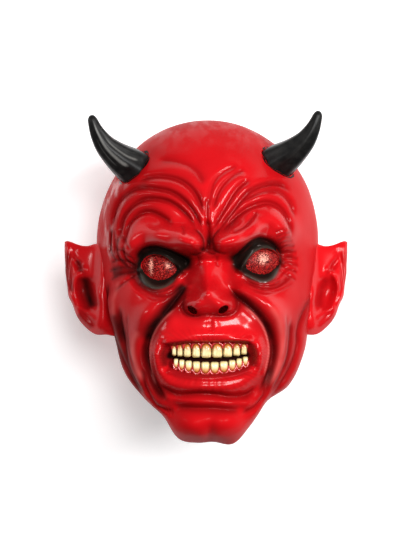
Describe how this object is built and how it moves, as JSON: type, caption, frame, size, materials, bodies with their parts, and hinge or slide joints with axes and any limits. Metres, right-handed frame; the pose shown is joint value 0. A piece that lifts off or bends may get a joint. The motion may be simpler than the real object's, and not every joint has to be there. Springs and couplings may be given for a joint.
{
  "type": "latex mask",
  "caption": "Full-head latex devil mask: scowling brow, bared teeth, pointed ears and curved horns, hollow, open at the neck, lying face up.",
  "frame": {"origin": "centre of the mask's outline seen from above, at the floor under the back of the head", "axes": "+Z out of the face, +Y towards the crown, +X towards the wearer's left ear; the mask lies on the back of its head"},
  "size_m": [0.2493, 0.2867, 0.2325],
  "materials": {
    "red_latex": "glossy painted latex with brown-black airbrushed creases",
    "cream_teeth": "satin cream with orange-brown stain at the gums",
    "black_horn": "satin black",
    "red_glitter": "glitter under a clear gloss dome"
  },
  "bodies": {
    "root": {"mask_skin": "red_latex", "horn_left": "black_horn", "horn_right": "black_horn", "eye_lens_left": "red_glitter", "eye_lens_right": "red_glitter"}
  },
  "joints": []
}
